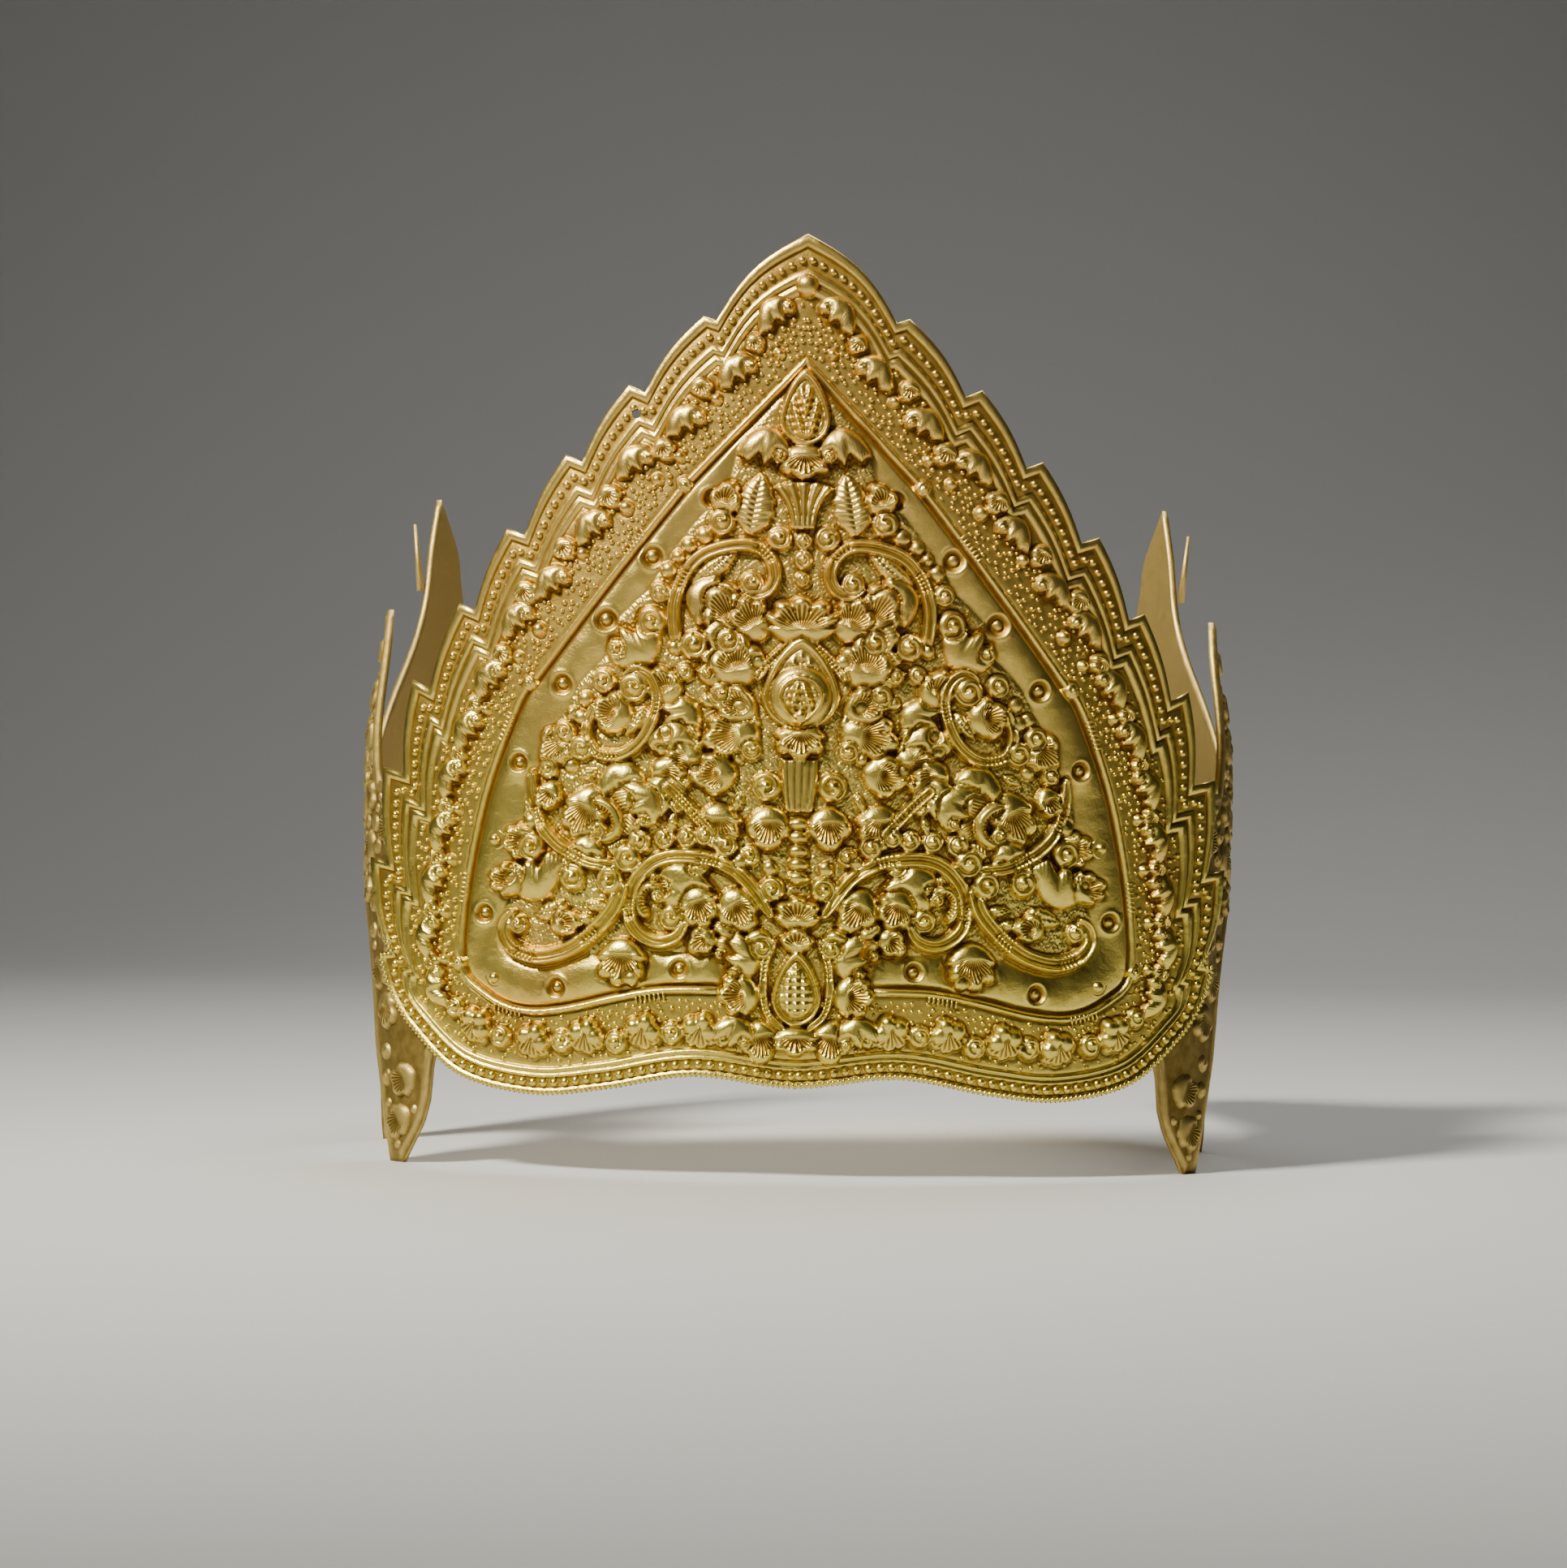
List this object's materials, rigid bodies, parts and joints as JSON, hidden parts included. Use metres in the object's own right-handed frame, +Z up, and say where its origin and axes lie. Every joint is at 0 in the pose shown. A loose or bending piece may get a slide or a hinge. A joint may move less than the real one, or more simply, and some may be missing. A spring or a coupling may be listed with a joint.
{
  "type": "ceremonial headdress",
  "caption": "Gold sheet crown with a tall leaf-shaped front plate in raised scrollwork, stepped edges, and side plates with crest points that wrap past the ears on pointed flaps.",
  "frame": {"origin": "middle of the footprint on the surface it stands on", "axes": "+Z up, the front plate faces -Y, +X to the right of a viewer in front"},
  "size_m": [0.1864, 0.1658, 0.19],
  "materials": {
    "front_gold": "chased gold sheet, soft shine",
    "side_gold": "chased gold sheet, matt on the inner face",
    "rivet_gold": "polished gold"
  },
  "bodies": {
    "root": {"front_plate": "front_gold", "side_plate_left": "side_gold", "side_plate_right": "side_gold", "rivet_left_upper": "rivet_gold", "rivet_left_lower": "rivet_gold", "rivet_right_upper": "rivet_gold", "rivet_right_lower": "rivet_gold"}
  },
  "joints": []
}
